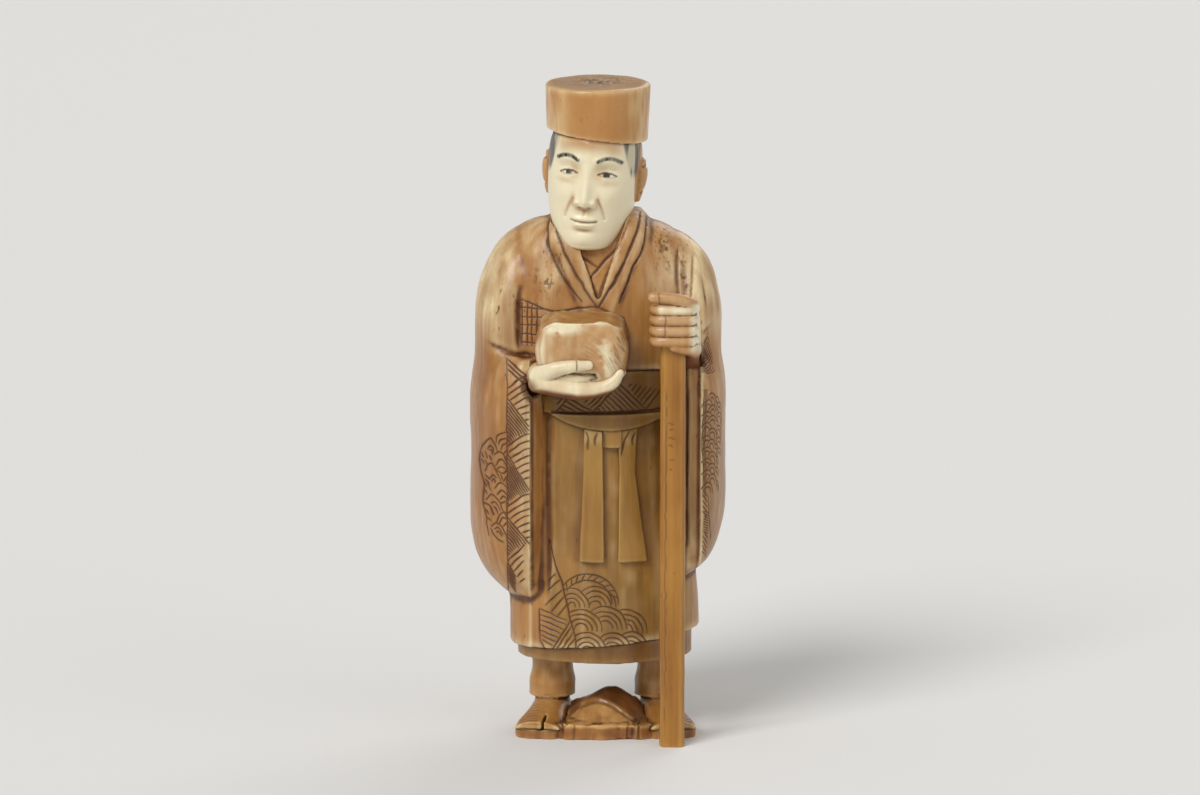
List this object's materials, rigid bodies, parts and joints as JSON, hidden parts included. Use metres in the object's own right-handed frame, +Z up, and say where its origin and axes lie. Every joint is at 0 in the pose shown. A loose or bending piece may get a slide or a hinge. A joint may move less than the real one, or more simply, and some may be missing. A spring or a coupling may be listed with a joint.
{
  "type": "okimono carving",
  "caption": "Standing robed figure of stained bone in a flat round cap, with a block on one palm and a square staff that lifts out of the other fist.",
  "frame": {"origin": "on the underside of the ground slab, below the axis of the robe", "axes": "+Z up, the figure faces -Y and its right side is at -X"},
  "size_m": [0.0395, 0.0304, 0.1003],
  "materials": {
    "stained_bone": "polished tea-stained bone, dark in the cuts",
    "dark_bone": "polished dark-stained bone",
    "pale_bone": "polished pale bone",
    "ground_bone": "polished red-brown stained bone",
    "staff_bone": "polished bone with long grain",
    "dowel_wood": "plain turned wood"
  },
  "bodies": {
    "figure": {"right_sleeve": "stained_bone", "left_sleeve": "stained_bone", "robe_body": "stained_bone", "obi_front": "stained_bone", "obi_back": "stained_bone", "right_sash_tail": "stained_bone", "left_sash_tail": "stained_bone", "cap": "stained_bone", "under_robe": "dark_bone", "right_leg": "dark_bone", "left_leg": "dark_bone", "head": "pale_bone", "right_hand": "pale_bone", "left_hand": "pale_bone", "carried_block": "pale_bone", "ground_base": "ground_bone", "neck_peg": "dowel_wood", "cap_peg": "dowel_wood", "block_peg": "dowel_wood", "sleeve_pegs": "dowel_wood", "leg_pegs": "dowel_wood", "foot_pegs": "dowel_wood"},
    "staff": {"staff": "staff_bone"}
  },
  "joints": [
    {"name": "staff_lift", "type": "slide", "parent": "figure", "child": "staff", "axis": [0, 0, 1], "range_m": [0, 0.07]}
  ]
}
